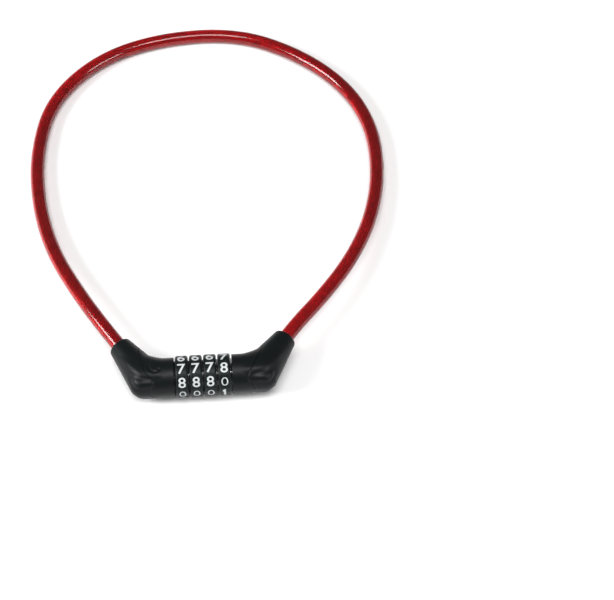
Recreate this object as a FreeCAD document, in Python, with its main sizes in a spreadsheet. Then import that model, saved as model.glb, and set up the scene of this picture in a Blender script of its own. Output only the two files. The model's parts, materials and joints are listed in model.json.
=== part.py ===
"""Combination cable lock: a four-dial barrel head and its looped steel cable.

The head lies along X with the fixed elbow at -X and the free elbow at +X, and
the cable loops out towards +Y on the same surface.  The origin is the centre
of the head's footprint, with Z = 0 the surface that the lock lies on.
Millimetres throughout.
"""

import FreeCAD
import Part
import Sketcher

import math
import os
from FreeCAD import Placement, Rotation, Vector

doc = FreeCAD.newDocument("cable_lock")
sheet = doc.addObject("Spreadsheet::Sheet", "dims")

DIMENSIONS = [
    ("axis_height", 12.4, "height of the barrel axis above the surface"),
    ("axis_setback", 7.6, "distance of the barrel axis in front of the origin"),
    ("dial_pitch", 8.05, "spacing of the dials along the barrel"),
    ("dial_width", 7.2, "width of one dial"),
    ("dial_radius", 12.0, "outer radius of a dial"),
    ("dial_chamfer", 0.8, "chamfer on both edges of a dial"),
    ("dial_bore", 9.3, "inner radius of a dial, seated on its gate ring"),
    ("ring_width", 7.1, "width of a gate ring"),
    ("ring_web", 2.0, "thickness of the gate ring's blocking web"),
    ("ring_chamber", 8.3, "inner radius of the gate ring's chamber"),
    ("ring_bore", 6.58, "running bore of a gate ring on the barrel"),
    ("gate_width", 2.8, "width of every gate that a lug passes"),
    ("barrel_radius", 6.5, "outer radius of the barrel"),
    ("barrel_bore", 3.28, "bore of the barrel, a sliding fit on the bolt"),
    ("barrel_end", 19.3, "free end of the barrel from the dials' centre"),
    ("barrel_floor", 20.5, "blind end of the barrel's bore"),
    ("shank_end", 27.0, "end of the barrel or bolt inside its elbow core"),
    ("slot_start", 16.2, "closed end of the barrel's slot"),
    ("slot_width", 2.4, "width of the barrel's slot"),
    ("bolt_radius", 3.2, "radius of the locking bolt"),
    ("bolt_tip", 18.5, "tip of the locking bolt from the dials' centre"),
    ("lug_width", 2.0, "width of a lug on the bolt"),
    ("lug_length", 3.2, "length of a lug along the bolt"),
    ("lug_reach", 8.0, "height of a lug above the bolt's axis"),
    ("lug_lead", 2.4, "start of a lug before its dial's centre"),
    ("washer_width", 0.55, "thickness of a spacer washer"),
    ("washer_radius", 9.0, "outer radius of a spacer washer"),
    ("washer_gate", 8.1, "depth of the lug gate in a washer or the collar"),
    ("collar_width", 2.5, "width of the end collar"),
    ("collar_radius", 8.9, "outer radius of the end collar"),
    ("ball_radius", 0.8, "radius of a detent ball"),
    ("spring_seat", 3.9, "distance of a detent spring's seat from the axis"),
    ("spring_wire", 0.12, "wire radius of a detent spring"),
    ("spring_radius", 0.55, "coil radius of a detent spring"),
    ("groove_radius", 0.5, "radius of the click grooves in a gate ring"),
    ("head_gap", 0.8, "gap between an end dial and the elbow beside it"),
    ("body_radius", 11.2, "outer radius of the head beside the dials"),
    ("core_radius", 8.9, "radius of an elbow's cast core"),
    ("core_front_fixed", 16.8, "front face of the fixed elbow's core"),
    ("core_front_free", 20.0, "front face of the free elbow's core"),
    ("collar_room", 9.3, "bore of the free sleeve around the end collar"),
    ("bend_place", 32.5, "corner of an elbow from the dials' centre"),
    ("neck_end", 24.0, "end of an elbow's round neck beside the dials"),
    ("corner_back", 0.5, "shift of the fullest section towards the dials"),
    ("corner_in", 0.9, "shift of the fullest section into the bend"),
    ("corner_swell", 1.3, "swelling of the fullest section across the bend"),
    ("taper_start", 12.0, "start of an elbow's taper along its arm"),
    ("arm_angle", 57.5, "turn of an elbow's arm away from the barrel axis"),
    ("arm_length", 27.8, "length of an elbow's arm from its corner"),
    ("arm_core_radius", 6.6, "radius of the core inside an arm"),
    ("arm_core_end", 20.0, "end of the core along an arm"),
    ("mouth_radius", 6.6, "outer radius of an elbow at its mouth"),
    ("mouth_bore", 4.4, "bore of an elbow's mouth around the cable"),
    ("ferrule_radius", 4.5, "radius of a cable ferrule"),
    ("ferrule_start", 8.0, "inner end of a ferrule along its arm"),
    ("rope_start", 13.0, "end of the wire rope inside its ferrule"),
    ("pin_radius", 1.25, "radius of the barrel pin and the bolt pin"),
    ("pin_length", 17.4, "length of the barrel pin and the bolt pin"),
    ("pin_place", 24.0, "place of those pins along the axis"),
    ("ferrule_pin_radius", 1.0, "radius of a ferrule pin"),
    ("ferrule_pin_length", 12.6, "length of a ferrule pin"),
    ("ferrule_pin_place", 10.5, "place of a ferrule pin along its arm"),
    ("seam_tip", 27.0, "tip of the chevron seam along the barrel axis"),
    ("seam_tip_depth", 7.0, "distance of the seam's tip in front of the axis"),
    ("seam_outer", 30.5, "seam on the outer side of the bend"),
    ("seam_inner", 37.5, "seam on the inner side of the bend"),
    ("seam_clear", 14.0, "half width of the outline that the seam is cut with"),
    ("pad_radius", 4.0, "radius of the rest pad under an elbow"),
    ("pad_place", 34.5, "place of a rest pad along the barrel axis"),
    ("jacket_radius", 4.3, "outer radius of the cable's clear jacket"),
    ("jacket_bore", 3.0, "inner radius of the cable's jacket"),
    ("rope_radius", 2.9, "radius of the cable's steel rope"),
    ("rope_seat", 3.05, "bore of a ferrule around the rope"),
    ("seat_clearance", 0.05, "clearance round a detent ball in its seat"),
    ("overshoot", 1.0, "length by which a cut runs past a face"),
]
for row, (alias, size, note) in enumerate(DIMENSIONS, start=1):
    sheet.set("A%d" % row, note)
    sheet.set("B%d" % row, str(size))
    sheet.setAlias("B%d" % row, alias)
doc.recompute()

# The cable's route, from the fixed elbow round the loop to the free elbow, with
# Y counted from the barrel axis.  The two points either side of the far end
# have the same Y, so the cable is cut there square to X.
ROUTE_FIXED = [
    (-43.2, 16.9, 12.4), (-56.1, 37.1, 12.4), (-70.9, 63.5, 11.0), (-86.6, 97.5, 8.0),
    (-95.7, 135.5, 5.6), (-97.6, 178.5, 4.5), (-88.3, 222.0, 4.3), (-57.2, 256.0, 4.3),
    (-15.0, 271.0, 4.3),
]
ROUTE_FREE = [
    (43.2, 16.9, 12.4), (51.8, 30.4, 12.4), (72.4, 52.0, 11.4), (91.4, 79.0, 9.0),
    (106.3, 111.0, 6.6), (114.4, 148.0, 5.0), (113.4, 187.0, 4.3), (99.8, 221.0, 4.3),
    (72.2, 250.0, 4.3), (33.5, 271.0, 4.3),
]
DIALS = [1, 2, 3, 4]
DIAL_OFFSETS = [-1.5, -0.5, 0.5, 1.5]
WASHER_OFFSETS = [-2, -1, 0, 1, 2]
DIGITS_PER_DIAL = 9
SPRING_TURNS = 3
ARC_REACH = 0.45

AXIS_Y = "-dims.axis_setback"
AXIS_Z = "dims.axis_height"
ALONG_X = Rotation(Vector(0, 1, 0), 90)
DOWNWARD = Rotation(Vector(1, 0, 0), 180)
FACING_X = Rotation(Vector(0, 1, 0), Vector(0, 0, 1), Vector(1, 0, 0), "ZXY")
nodes = []


def number(expression):
    """The value of an expression on the sheet, as a plain number."""
    return float(sheet.evalExpression(expression))


def place(obj, x="0", y=AXIS_Y, z=AXIS_Z, rotation=None):
    """Bind an object's place to the sheet, after turning it."""
    obj.Placement = Placement(Vector(number(x), number(y), number(z)), rotation or Rotation())
    obj.setExpression("Placement.Base.x", x)
    obj.setExpression("Placement.Base.y", y)
    obj.setExpression("Placement.Base.z", z)
    return obj


def node(obj, name):
    """Name an object after the piece it models, and keep it for export."""
    obj.Label = name
    nodes.append(obj)
    return obj


def cylinder(name, radius, height, **where):
    obj = doc.addObject("Part::Cylinder", name)
    obj.setExpression("Radius", radius)
    obj.setExpression("Height", height)
    return place(obj, **where)


def ball(name, radius, **where):
    obj = doc.addObject("Part::Sphere", name)
    obj.setExpression("Radius", radius)
    return place(obj, **where)


def fuse(name, shapes):
    obj = doc.addObject("Part::MultiFuse", name)
    obj.Shapes = shapes
    return obj


def cut(name, base, tools):
    tool = tools[0] if len(tools) == 1 else fuse(name + "_tools", tools)
    obj = doc.addObject("Part::Cut", name)
    obj.Base = base
    obj.Tool = tool
    return obj


def common(name, shapes):
    obj = doc.addObject("Part::MultiCommon", name)
    obj.Shapes = shapes
    return obj


def origin_feature(body, role):
    return [f for f in body.Origin.OriginFeatures if f.Role == role][0]


def sketch_on(body, name, plane):
    sketch = body.newObject("Sketcher::SketchObject", name)
    sketch.AttachmentSupport = [(origin_feature(body, plane), "")]
    sketch.MapMode = "FlatFace"
    return sketch


def polygon(sketch, corners):
    """Draw a closed outline whose corners are pairs of expressions."""
    points = [Vector(number(u), number(v), 0) for u, v in corners]
    count = len(points)
    for i in range(count):
        sketch.addGeometry(Part.LineSegment(points[i], points[(i + 1) % count]), False)
    for i in range(count):
        sketch.addConstraint(Sketcher.Constraint("Coincident", i, 2, (i + 1) % count, 1))
    for i, (u, v) in enumerate(corners):
        for kind, value, text in (("DistanceX", points[i].x, u), ("DistanceY", points[i].y, v)):
            index = sketch.addConstraint(Sketcher.Constraint(kind, -1, 1, i, 1, value))
            sketch.setExpression("Constraints[%d]" % index, text)


def turned(name, corners):
    """A body turned about X from an outline of (along X, radius) corners."""
    body = doc.addObject("PartDesign::Body", name)
    sketch = sketch_on(body, name + "_profile", "XY_Plane")
    polygon(sketch, corners)
    turn = body.newObject("PartDesign::Revolution", name + "_turning")
    turn.Profile = sketch
    turn.ReferenceAxis = (sketch, ["H_Axis"])
    turn.Angle = 360
    doc.recompute()
    return body


def tube(name, start, end, inner, outer):
    return turned(name, [(start, inner), (end, inner), (end, outer), (start, outer)])


def gate(body, name, start, end, width, depth):
    """Cut a radial gate upwards from the axis of a turned body."""
    sketch = sketch_on(body, name + "_outline", "XY_Plane")
    half = "%s / 2" % width
    polygon(sketch, [(start, "-" + half), (end, "-" + half), (end, half), (start, half)])
    pocket = body.newObject("PartDesign::Pocket", name)
    pocket.Profile = sketch
    pocket.Reversed = True
    pocket.setExpression("Length", depth)
    doc.recompute()
    return pocket


def dial_place(offset):
    return "%s * dims.dial_pitch" % offset


def make_dial(index, offset):
    half = "dims.dial_width / 2"
    rim = "dims.dial_radius - dims.dial_chamfer"
    shoulder = "dims.dial_width / 2 - dims.dial_chamfer"
    body = turned("dial_%d" % index, [
        ("-" + half, "dims.dial_bore"), (half, "dims.dial_bore"), (half, rim),
        (shoulder, "dims.dial_radius"), ("-(%s)" % shoulder, "dims.dial_radius"),
        ("-" + half, rim)])
    return node(place(body, x=dial_place(offset)), "dial_%d" % index)


def make_gate_ring(index, offset):
    """The ring inside a dial: a chamber that the lug sits in, a web that
    stops the lug unless its gate is in line, and one click groove a digit."""
    name = "gate_ring_%d" % index
    half = "dims.ring_width / 2"
    web = "dims.ring_width / 2 - dims.ring_web"
    body = turned(name, [
        ("-" + half, "dims.ring_chamber"), (web, "dims.ring_chamber"), (web, "dims.ring_bore"),
        (half, "dims.ring_bore"), (half, "dims.dial_bore"), ("-" + half, "dims.dial_bore")])
    gate(body, name + "_gate", "(%s) / 2" % web, half + " + dims.overshoot", "dims.gate_width",
         "dims.ring_chamber")
    sketch = sketch_on(body, name + "_groove_outline", "YZ_Plane")
    sketch.addGeometry(Part.Circle(Vector(0, -number("dims.ring_bore"), 0), Vector(0, 0, 1),
                                   number("dims.groove_radius")), False)
    sketch.addConstraint(Sketcher.Constraint("Radius", 0, number("dims.groove_radius")))
    sketch.setExpression("Constraints[0]", "dims.groove_radius")
    sketch.addConstraint(Sketcher.Constraint("PointOnObject", 0, 3, -2))
    sketch.addConstraint(Sketcher.Constraint("DistanceY", 0, 3, -1, 1, number("dims.ring_bore")))
    sketch.setExpression("Constraints[2]", "dims.ring_bore")
    groove = body.newObject("PartDesign::Pocket", name + "_groove")
    groove.Profile = sketch
    groove.Midplane = True
    groove.setExpression("Length", "dims.ring_width + 2 * dims.overshoot")
    doc.recompute()
    pattern = body.newObject("PartDesign::PolarPattern", name + "_grooves")
    pattern.Originals = [groove]
    pattern.Axis = (origin_feature(body, "X_Axis"), [""])
    pattern.Angle = 360
    pattern.Occurrences = DIGITS_PER_DIAL
    body.Tip = pattern
    doc.recompute()
    return node(place(body, x=dial_place(offset)), name)


def make_barrel():
    body = turned("barrel_blank", [
        ("-dims.shank_end", "0"), ("-dims.shank_end", "dims.barrel_radius"),
        ("dims.barrel_end", "dims.barrel_radius"), ("dims.barrel_end", "dims.barrel_bore"),
        ("-dims.barrel_floor", "dims.barrel_bore"), ("-dims.barrel_floor", "0")])
    gate(body, "barrel_slot", "-dims.slot_start", "dims.barrel_end + dims.overshoot",
         "dims.slot_width", "dims.barrel_radius + dims.overshoot")
    return place(body)


def make_washers():
    """Five washers keep the gate rings apart, each with a gate for the lugs."""
    half = "dims.washer_width / 2"
    washers = []
    for index, offset in enumerate(WASHER_OFFSETS, start=1):
        name = "spacer_washer_%d" % index
        body = tube(name, "-" + half, half, "dims.barrel_radius", "dims.washer_radius")
        gate(body, name + "_gate", "-dims.washer_width", "dims.washer_width", "dims.gate_width",
             "dims.washer_gate")
        washers.append(place(body, x=dial_place(offset)))
    group = doc.addObject("Part::Compound", "spacer_washers")
    group.Links = washers
    return node(group, "spacer_washers")


def make_collar():
    start = "dims.barrel_end - dims.collar_width"
    body = tube("end_collar", start, "dims.barrel_end", "dims.barrel_radius",
                "dims.collar_radius")
    gate(body, "collar_gate", start + " - dims.overshoot", "dims.barrel_end + dims.overshoot",
         "dims.gate_width", "dims.washer_gate")
    return node(place(body), "end_collar")


def make_bolt():
    """The locking bolt: a round shank with one lug for each dial."""
    length = "dims.bolt_tip + dims.shank_end"
    pieces = [cylinder("bolt_shank", "dims.bolt_radius", length, x="-dims.bolt_tip",
                       rotation=ALONG_X)]
    for index, offset in zip(DIALS, DIAL_OFFSETS):
        lug = doc.addObject("Part::Box", "bolt_lug_%d" % index)
        lug.setExpression("Length", "dims.lug_length")
        lug.setExpression("Width", "dims.lug_width")
        lug.setExpression("Height", "dims.lug_reach")
        place(lug, x=dial_place(offset) + " - dims.lug_lead", y=AXIS_Y + " - dims.lug_width / 2")
        pieces.append(lug)
    return fuse("bolt_blank", pieces)


def make_detents():
    """A ball and a coil spring under each gate ring, in a blind hole."""
    balls = []
    springs = []
    seats = []
    ball_depth = "dims.barrel_radius - dims.ball_radius"
    seat_radius = "dims.ball_radius + dims.seat_clearance"
    coil = "(dims.barrel_radius - 2 * dims.ball_radius - dims.spring_seat - 2 * dims.spring_wire)"
    for index, offset in zip(DIALS, DIAL_OFFSETS):
        x = dial_place(offset)
        balls.append(ball("detent_ball_%d" % index, "dims.ball_radius", x=x,
                          z=AXIS_Z + " - (%s)" % ball_depth))
        seats.append(cylinder("detent_seat_%d" % index, seat_radius, "dims.barrel_radius", x=x,
                              z=AXIS_Z + " - dims.spring_seat", rotation=DOWNWARD))
        helix = doc.addObject("Part::Helix", "detent_helix_%d" % index)
        helix.setExpression("Pitch", coil + " / %d" % SPRING_TURNS)
        helix.setExpression("Height", coil)
        helix.setExpression("Radius", "dims.spring_radius")
        wire = doc.addObject("Part::Circle", "detent_wire_%d" % index)
        wire.setExpression("Radius", "dims.spring_wire")
        wire.Placement = Placement(Vector(0, 0, 0), Rotation(Vector(1, 0, 0), 90))
        wire.setExpression("Placement.Base.x", "dims.spring_radius")
        doc.recompute()
        spring = doc.addObject("Part::Sweep", "detent_spring_%d" % index)
        spring.Sections = [wire]
        spring.Spine = (helix, ["Edge%d" % (n + 1) for n in range(len(helix.Shape.Edges))])
        spring.Solid = True
        spring.Frenet = True
        springs.append(place(spring, x=x, rotation=DOWNWARD,
                             z=AXIS_Z + " - dims.spring_seat - dims.spring_wire"))
    for name, links in (("detent_balls", balls), ("detent_springs", springs)):
        group = doc.addObject("Part::Compound", name)
        group.Links = links
        node(group, name)
    return seats


def arm_point(side, distance):
    """Expressions for a point on an elbow's arm, a distance from its corner."""
    x = "%d * (dims.bend_place + %s * cos(dims.arm_angle * 1deg))" % (side, distance)
    y = "-dims.axis_setback + %s * sin(dims.arm_angle * 1deg)" % distance
    return {"x": x, "y": y}


def arm_rotation(side):
    angle = math.radians(sheet.arm_angle)
    return Rotation(Vector(0, 0, 1), Vector(side * math.cos(angle), math.sin(angle), 0))


def arm_cylinder(name, side, radius, start, end):
    return cylinder(name, radius, "%s - %s" % (end, start), rotation=arm_rotation(side),
                    **arm_point(side, start))


def make_envelope(side, prefix):
    """The outer form of one end of the head: round beside the dials, fuller at
    the corner and tapering along the arm to the mouth."""
    face = "dims.dial_width / 2 + 1.5 * dims.dial_pitch + dims.head_gap"
    taper = "(dims.body_radius - dims.mouth_radius) / dims.arm_length"
    sections = []

    def section(major, minor, turn, x, y=AXIS_Y):
        ring = doc.addObject("Part::Ellipse", "%s_section_%d" % (prefix, len(sections) + 1))
        ring.setExpression("MajorRadius", major)
        ring.setExpression("MinorRadius", minor)
        turned_by = Rotation(Vector(0, 0, 1), side * turn)
        sections.append(place(ring, x=x, y=y, rotation=turned_by.multiply(FACING_X)))

    for start in (face, "(%s + dims.neck_end) / 2" % face, "dims.neck_end"):
        section("dims.body_radius", "dims.body_radius", 0, "%d * (%s)" % (side, start))
    section("dims.body_radius + dims.corner_swell", "dims.body_radius", sheet.arm_angle / 2,
            "%d * (dims.bend_place - dims.corner_back)" % side, AXIS_Y + " + dims.corner_in")
    for distance in ("dims.taper_start", "dims.arm_core_end", "dims.arm_length"):
        radius = "dims.body_radius - %s * %s" % (taper, distance)
        section(radius, radius, sheet.arm_angle, **arm_point(side, distance))
    loft = doc.addObject("Part::Loft", prefix + "_envelope")
    loft.Sections = sections
    loft.Solid = True
    loft.Ruled = False
    return loft


def make_seam_prism(side, prefix):
    """The space inside the chevron seam that parts the sleeve from the cover.
    The seam is square to the surface that the lock lies on, with its tip
    towards the dials on the outer side of the bend."""
    x = "%d * " % side
    sketch = doc.addObject("Sketcher::SketchObject", prefix + "_seam_outline")
    polygon(sketch, [(x + "dims.seam_clear", "-dims.seam_clear"),
                     (x + "dims.seam_outer", "-dims.seam_clear"),
                     (x + "dims.seam_tip", "-dims.seam_tip_depth"),
                     (x + "dims.seam_inner", "dims.seam_clear"),
                     (x + "dims.seam_clear", "dims.seam_clear")])
    prism = doc.addObject("Part::Extrusion", prefix + "_seam_prism")
    prism.Base = sketch
    prism.Dir = Vector(0, 0, 1)
    prism.setExpression("LengthFwd", "2 * dims.axis_height")
    prism.Solid = True
    return place(prism, z="0")


def make_end(side, prefix, core_front):
    """One end of the head: core, cover, sleeve, ferrule and ferrule pin."""
    x = "%d * " % side
    along = Rotation(Vector(0, 1, 0), 90 * side)
    body_length = "dims.bend_place - %s" % core_front
    blank = fuse(prefix + "_core_blank", [
        cylinder(prefix + "_core_round", "dims.core_radius", body_length, rotation=along,
                 x=x + core_front),
        ball(prefix + "_core_corner", "dims.core_radius", x=x + "dims.bend_place"),
        arm_cylinder(prefix + "_core_arm", side, "dims.arm_core_radius", "0",
                     "dims.arm_core_end")])

    def shank(name, radius):
        return cylinder(prefix + name, radius, "dims.shank_end - %s" % core_front,
                        rotation=along, x=x + core_front)

    def cross_pin(name):
        return cylinder(prefix + name, "dims.pin_radius", "dims.pin_length",
                        x=x + "dims.pin_place", z=AXIS_Z + " - dims.pin_length / 2")

    def ferrule_pin(name):
        return cylinder(prefix + name, "dims.ferrule_pin_radius", "dims.ferrule_pin_length",
                        z=AXIS_Z + " - dims.ferrule_pin_length / 2",
                        **arm_point(side, "dims.ferrule_pin_place"))

    def ferrule(name):
        return arm_cylinder(prefix + name, side, "dims.ferrule_radius", "dims.ferrule_start",
                            "dims.arm_core_end")

    shank_radius = "dims.barrel_radius" if side < 0 else "dims.bolt_radius"
    node(cut(prefix + "_elbow_core", blank, [
        shank("_shank_bore", shank_radius), cross_pin("_pin_hole"),
        ferrule("_ferrule_bore"), ferrule_pin("_ferrule_pin_hole")]), prefix + "_elbow_core")
    node(cut(prefix + "_cable_ferrule", ferrule("_ferrule_blank"), [
        arm_cylinder(prefix + "_rope_bore", side, "dims.rope_seat", "dims.rope_start",
                     "dims.arm_core_end"),
        ferrule_pin("_ferrule_cross_hole")]), prefix + "_cable_ferrule")
    node(ferrule_pin("_ferrule_pin"), prefix + "_ferrule_pin")

    envelope = make_envelope(side, prefix)
    prism = make_seam_prism(side, prefix)
    sleeve = common(prefix + "_sleeve_blank", [envelope, prism])
    room = "dims.collar_room" if side > 0 else "dims.core_radius"
    node(cut(prefix + "_sleeve", sleeve, [
        blank, cylinder(prefix + "_sleeve_room", room, core_front, x="0", rotation=along)]),
        prefix + "_sleeve")
    pad = cylinder(prefix + "_pad", "dims.pad_radius", "dims.axis_height / 2",
                   x=x + "dims.pad_place", z="0")
    cover_blank = fuse(prefix + "_cover_blank", [envelope, pad])
    node(cut(prefix + "_elbow_cover", cover_blank, [
        blank, prism, arm_cylinder(prefix + "_mouth_bore", side, "dims.mouth_bore",
                                   "dims.arm_core_end", "dims.arm_length + dims.overshoot")]),
         prefix + "_elbow_cover")
    return cross_pin


def tangent_path(points):
    """Straight runs joined by tangent arcs, each as large as its runs allow.
    The last run is half of one that the other half of the cable shares."""
    edges = []
    radii = []
    here = points[0]
    for before, corner, after in zip(points, points[1:], points[2:]):
        back = (before - corner).normalize()
        ahead = (after - corner).normalize()
        turn = math.pi - back.getAngle(ahead)
        run = (after - corner).Length
        if after is points[-1]:
            run = 2 * run
        reach = ARC_REACH * min((before - corner).Length, run)
        radius = reach / math.tan(turn / 2)
        radii.append(radius)
        start = corner + back * reach
        end = corner + ahead * reach
        inward = (back + ahead).normalize()
        middle = corner + inward * (radius / math.cos(turn / 2) - radius)
        edges.append(Part.LineSegment(here, start).toShape())
        edges.append(Part.Arc(start, middle, end).toShape())
        here = end
    edges.append(Part.LineSegment(here, points[-1]).toShape())
    return Part.Wire(edges), radii


def swept(wire, radius):
    tangent = wire.Edges[0].tangentAt(wire.Edges[0].FirstParameter)
    start = wire.Edges[0].valueAt(wire.Edges[0].FirstParameter)
    ring = Part.Wire(Part.Circle(start, tangent, radius).toShape())
    return wire.makePipeShell([ring], True, False)


def make_cable_half(prefix, route, meeting):
    """The jacket and the steel rope, from the elbow to the loop's far end."""
    points = [Vector(x, y - sheet.axis_setback, z) for x, y, z in route]
    points.append(Vector(meeting, points[-1].y, points[-1].z))
    wire, radii = tangent_path(points)
    jacket = swept(wire, sheet.jacket_radius).cut(swept(wire, sheet.jacket_bore))
    inward = (points[0] - points[1]).normalize()
    points[0] = points[0] + inward * (sheet.arm_core_end - sheet.rope_start)
    rope_wire, _ = tangent_path(points)
    rope = swept(rope_wire, sheet.rope_radius)
    for name, shape in (("cable_jacket_" + prefix + "_half", jacket),
                        ("wire_rope_" + prefix + "_half", rope)):
        piece = doc.addObject("Part::Feature", name)
        piece.Shape = shape
        node(piece, name)
    section = math.pi * (sheet.jacket_radius ** 2 - sheet.jacket_bore ** 2)
    print("%s half: length %.1f, radii %s" % (prefix, wire.Length, [round(r) for r in radii]))
    print("  jacket volume %.1f, section x length %.1f" % (jacket.Volume, section * wire.Length))


barrel_blank = make_barrel()
for index, offset in zip(DIALS, DIAL_OFFSETS):
    make_dial(index, offset)
    make_gate_ring(index, offset)
make_washers()
make_collar()
detent_seats = make_detents()

fixed_pin = make_end(-1, "fixed", "dims.core_front_fixed")
free_pin = make_end(1, "free", "dims.core_front_free")
node(cut("lock_barrel", barrel_blank, detent_seats + [fixed_pin("_barrel_pin_hole")]),
     "lock_barrel")
node(fixed_pin("_barrel_pin"), "barrel_pin")
node(cut("locking_bolt", make_bolt(), [free_pin("_bolt_pin_hole")]), "locking_bolt")
node(free_pin("_bolt_pin"), "bolt_pin")

loop_end = (ROUTE_FIXED[-1][0] + ROUTE_FREE[-1][0]) / 2
make_cable_half("fixed", ROUTE_FIXED, loop_end)
make_cable_half("free", ROUTE_FREE, loop_end)

doc.recompute()
for obj in doc.Objects:
    if "Invalid" in obj.State or "Error" in obj.State:
        raise RuntimeError("%s failed: %s" % (obj.Name, obj.State))
os.makedirs("parts", exist_ok=True)
for piece in nodes:
    shape = piece.Shape
    if shape.isNull() or not shape.isValid() or not shape.Solids:
        raise RuntimeError("%s has no valid shape" % piece.Label)
    shape.exportStep("parts/%s.step" % piece.Label)
    box = shape.optimalBoundingBox(False)
    print("%-26s %d solid(s) %9.1f mm3  x %.1f..%.1f y %.1f..%.1f z %.1f..%.1f" % (
        piece.Label, len(shape.Solids), shape.Volume, box.XMin, box.XMax, box.YMin, box.YMax,
        box.ZMin, box.ZMax))
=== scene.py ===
"""The looks of a four-dial cable lock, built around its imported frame.

Everything is in metres in the frame's own axes: X along the barrel, Y towards
the far end of the cable loop, Z up from the surface that the lock lies on.
"""

import json
import math

import bmesh
import bpy
import numpy as np
from bpy.props import FloatProperty, FloatVectorProperty, IntProperty, PointerProperty
from mathutils import Euler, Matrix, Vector


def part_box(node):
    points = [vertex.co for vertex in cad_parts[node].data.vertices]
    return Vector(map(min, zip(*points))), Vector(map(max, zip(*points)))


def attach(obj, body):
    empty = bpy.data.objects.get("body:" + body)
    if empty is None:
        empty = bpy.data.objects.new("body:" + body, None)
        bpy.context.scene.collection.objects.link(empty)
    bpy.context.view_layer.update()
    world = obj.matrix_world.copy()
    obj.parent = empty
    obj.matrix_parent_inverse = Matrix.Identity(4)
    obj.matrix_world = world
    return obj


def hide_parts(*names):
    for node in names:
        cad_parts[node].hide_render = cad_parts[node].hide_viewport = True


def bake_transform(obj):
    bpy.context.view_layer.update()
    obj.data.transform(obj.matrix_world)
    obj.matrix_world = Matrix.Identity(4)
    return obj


bl_info = {
    "name": "Cable lock looks",
    "version": (1, 0, 0),
    "blender": (4, 5, 0),
    "location": "View3D > Sidebar > Cable lock",
    "description": "Builds the visible pieces and finishes of a combination cable lock",
    "category": "Add Mesh",
}

MM = 0.001
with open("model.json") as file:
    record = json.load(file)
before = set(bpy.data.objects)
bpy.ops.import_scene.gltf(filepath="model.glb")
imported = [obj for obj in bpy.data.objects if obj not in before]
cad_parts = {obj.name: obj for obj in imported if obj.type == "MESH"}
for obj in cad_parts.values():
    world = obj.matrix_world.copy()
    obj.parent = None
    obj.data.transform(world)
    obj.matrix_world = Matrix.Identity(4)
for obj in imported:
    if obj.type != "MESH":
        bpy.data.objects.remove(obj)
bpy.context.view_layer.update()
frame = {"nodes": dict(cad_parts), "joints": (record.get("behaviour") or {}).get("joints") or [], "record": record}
JOINTS = {joint["name"]: joint for joint in frame["joints"]}
DIALS = (1, 2, 3, 4)
DIAL_PLACES = [JOINTS["dial_%d_turn" % n]["pos_m"] for n in DIALS]
AXIS_Y, AXIS_Z = DIAL_PLACES[0][1], DIAL_PLACES[0][2]
DIAL_LOW, DIAL_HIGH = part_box("dial_1")
DIAL_RADIUS = (DIAL_HIGH.z - DIAL_LOW.z) / 2
DIAL_HALF_WIDTH = (DIAL_HIGH.x - DIAL_LOW.x) / 2
RING_LOW, RING_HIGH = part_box("gate_ring_1")
DIAL_BORE = (RING_HIGH.z - RING_LOW.z) / 2
SLEEVE_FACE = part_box("free_sleeve")[0].x
BODY_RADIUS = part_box("free_sleeve")[1].z - AXIS_Z
PAD_PLACE = [abs(mount["pos_m"][0]) for mount in frame["record"]["mounts"]
             if mount["name"] == "rest_pad_free"][0]
PAD_RADIUS = 4.0 * MM

# The cable's route in millimetres from the fixed elbow round to the free one,
# with Y counted from the barrel's axis.
CABLE_ROUTE = [
    (-43.2, 16.9, 12.4), (-56.1, 37.1, 12.4), (-70.9, 63.5, 11.0), (-86.6, 97.5, 8.0),
    (-95.7, 135.5, 5.6), (-97.6, 178.5, 4.5), (-88.3, 222.0, 4.3), (-57.2, 256.0, 4.3),
    (-15.0, 271.0, 4.3), (33.5, 271.0, 4.3), (72.2, 250.0, 4.3), (99.8, 221.0, 4.3),
    (113.4, 187.0, 4.3), (114.4, 148.0, 5.0), (106.3, 111.0, 6.6), (91.4, 79.0, 9.0),
    (72.6, 52.0, 11.4), (53.1, 29.5, 12.4), (44.0, 16.4, 12.4),
]


# ---------------------------------------------------------------- settings

def length(name, text, default):
    return FloatProperty(name=name, description=text, default=default, unit="LENGTH",
                         precision=5)


def colour(name, text, default):
    return FloatVectorProperty(name=name, description=text, default=default, size=3,
                               min=0, max=1, subtype="COLOR")


def angle(name, text, degrees):
    return FloatProperty(name=name, description=text, default=math.radians(degrees),
                         subtype="ANGLE")


class CableSettings(bpy.types.PropertyGroup):
    """Sizes and colours of the cable."""
    diameter: length("Diameter", "Outside diameter of the clear jacket", 8.6 * MM)
    rope_radius: length("Rope radius", "Radius over the steel strands", 3.0 * MM)
    strands: IntProperty(name="Strands", description="Outer strands of the rope",
                         default=18, min=3)
    lay: length("Lay", "Length in which a strand goes once round the rope", 46 * MM)
    jacket: colour("Jacket", "Colour of the clear jacket", (0.88, 0.002, 0.006))
    steel: colour("Steel", "Colour of the strands", (0.52, 0.52, 0.54))


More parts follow.
